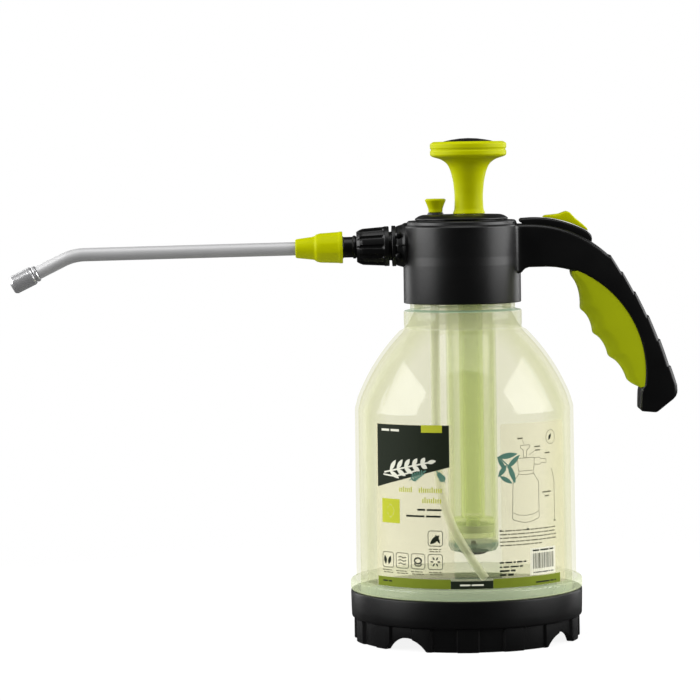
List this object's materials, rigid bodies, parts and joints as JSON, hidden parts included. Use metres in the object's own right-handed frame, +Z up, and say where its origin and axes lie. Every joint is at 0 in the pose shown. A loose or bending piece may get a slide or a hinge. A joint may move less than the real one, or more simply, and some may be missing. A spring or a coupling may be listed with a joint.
{
  "type": "pump sprayer",
  "caption": "Hand pressure sprayer: a translucent tank with a pump head, a trigger handle with a grip, and a long bent metal lance with a screw nozzle.",
  "frame": {"origin": "centre of the base on the floor, on the tank's axis", "axes": "+Z up the tank; +X towards the handle, so the lance points along -X; +Y to the left of someone who looks along +X"},
  "size_m": [0.3986, 0.139, 0.2996],
  "materials": {
    "black_plastic": "moulded, faint grain",
    "lime_plastic": "moulded, satin",
    "soft_grip": "soft overmould, matt",
    "tank_plastic": "blown, translucent",
    "pump_plastic": "moulded, translucent",
    "label_film": "printed clear film",
    "seal_rubber": "matt",
    "white_plastic": "moulded",
    "lance_aluminium": "drawn, satin",
    "nozzle_chrome": "plated",
    "spring_steel": "drawn wire"
  },
  "bodies": {
    "tank": {"tank": "tank_plastic", "base_boot": "black_plastic", "label": "label_film"},
    "neck_seal": {"neck_gasket": "seal_rubber"},
    "head": {"head_housing": "black_plastic", "top_cover": "black_plastic", "handle_frame": "black_plastic", "grip_insert": "soft_grip", "lever_pin": "spring_steel", "feed_hose": "white_plastic", "delivery_hose": "white_plastic", "pickup_tube": "pump_plastic", "pump_cylinder": "pump_plastic", "cylinder_gasket": "seal_rubber", "foot_valve": "seal_rubber", "guide_bush": "white_plastic", "relief_spring": "spring_steel", "valve_body": "white_plastic", "valve_spring": "spring_steel", "valve_seal": "seal_rubber", "outlet_washer": "seal_rubber"},
    "piston": {"piston": "white_plastic", "piston_seal": "seal_rubber"},
    "plunger": {"pump_rod": "lime_plastic", "pump_knob": "lime_plastic", "knob_cap": "black_plastic"},
    "relief": {"relief_knob": "lime_plastic", "relief_seal": "seal_rubber"},
    "thumb_lever": {"thumb_lever": "black_plastic"},
    "lock_slider": {"lock_slider": "lime_plastic"},
    "valve_stem": {"valve_stem": "white_plastic"},
    "outlet_nut": {"lance_nut": "black_plastic"},
    "lance": {"lance_adapter": "black_plastic", "lance_tube": "lance_aluminium", "gland_seal": "seal_rubber", "nozzle_core": "nozzle_chrome"},
    "collar": {"gland_collar": "lime_plastic"},
    "nozzle_seal": {"nozzle_oring": "seal_rubber"},
    "nozzle": {"nozzle_cap": "nozzle_chrome"}
  },
  "joints": [
    {"name": "head_lift", "type": "slide", "parent": "tank", "child": "neck_seal", "axis": [0, 0, 1], "range_m": [0, 0.2]},
    {"name": "head_turn", "type": "hinge", "parent": "neck_seal", "child": "head", "pos_m": [0, 0, 0.224], "axis": [0, 0, 1], "continuous": true},
    {"name": "pump_stroke", "type": "slide", "parent": "head", "child": "piston", "axis": [0, 0, 1], "range_m": [0, 0.13]},
    {"name": "knob_spin", "type": "hinge", "parent": "piston", "child": "plunger", "pos_m": [0.0046, 0, 0.072], "axis": [0, 0, 1], "continuous": true},
    {"name": "relief_pull", "type": "slide", "parent": "head", "child": "relief", "axis": [0, 0, 1], "range_m": [0, 0.002], "stiffness_N_per_m": 500, "springref_m": -0.001, "deforming": ["relief_spring"]},
    {"name": "thumb_press", "type": "hinge", "parent": "head", "child": "thumb_lever", "pos_m": [0.039, 0, 0.243], "axis": [0, 1, 0], "range_deg": [0, 7], "stiffness_Nm_per_rad": 0.4, "springref_deg": -5.73},
    {"name": "lock_slide", "type": "hinge", "parent": "thumb_lever", "child": "lock_slider", "pos_m": [0.0426, 0, 0.1872], "axis": [0, -1, 0], "range_deg": [0, 3.2]},
    {"name": "valve_stroke", "type": "slide", "parent": "head", "child": "valve_stem", "axis": [0, 0, -1], "range_m": [0, 0.0016], "deforming": ["valve_spring"]},
    {"name": "nut_turn", "type": "hinge", "parent": "head", "child": "outlet_nut", "pos_m": [-0.0529, 0, 0.23575], "axis": [-0.9999, 0, -0.0122], "range_deg": [0, 90]},
    {"name": "lance_swivel", "type": "hinge", "parent": "head", "child": "lance", "pos_m": [-0.0529, 0, 0.23575], "axis": [-0.9999, 0, -0.0122], "continuous": true},
    {"name": "collar_turn", "type": "hinge", "parent": "lance", "child": "collar", "pos_m": [-0.08, 0, 0.23542], "axis": [-0.9999, 0, -0.0122], "range_deg": [0, 90]},
    {"name": "nozzle_advance", "type": "slide", "parent": "lance", "child": "nozzle_seal", "axis": [-0.898, 0, -0.4399], "range_m": [0, 0.0021]},
    {"name": "nozzle_turn", "type": "hinge", "parent": "nozzle_seal", "child": "nozzle", "pos_m": [-0.25374, 0, 0.22314], "axis": [-0.898, 0, -0.4399], "range_deg": [0, 720]}
  ],
  "couplings": [
    {"joint": "valve_stroke", "follows": "thumb_press", "m_per_rad": 0.0127},
    {"joint": "nozzle_advance", "follows": "nozzle_turn", "m_per_rad": 0.00016}
  ]
}
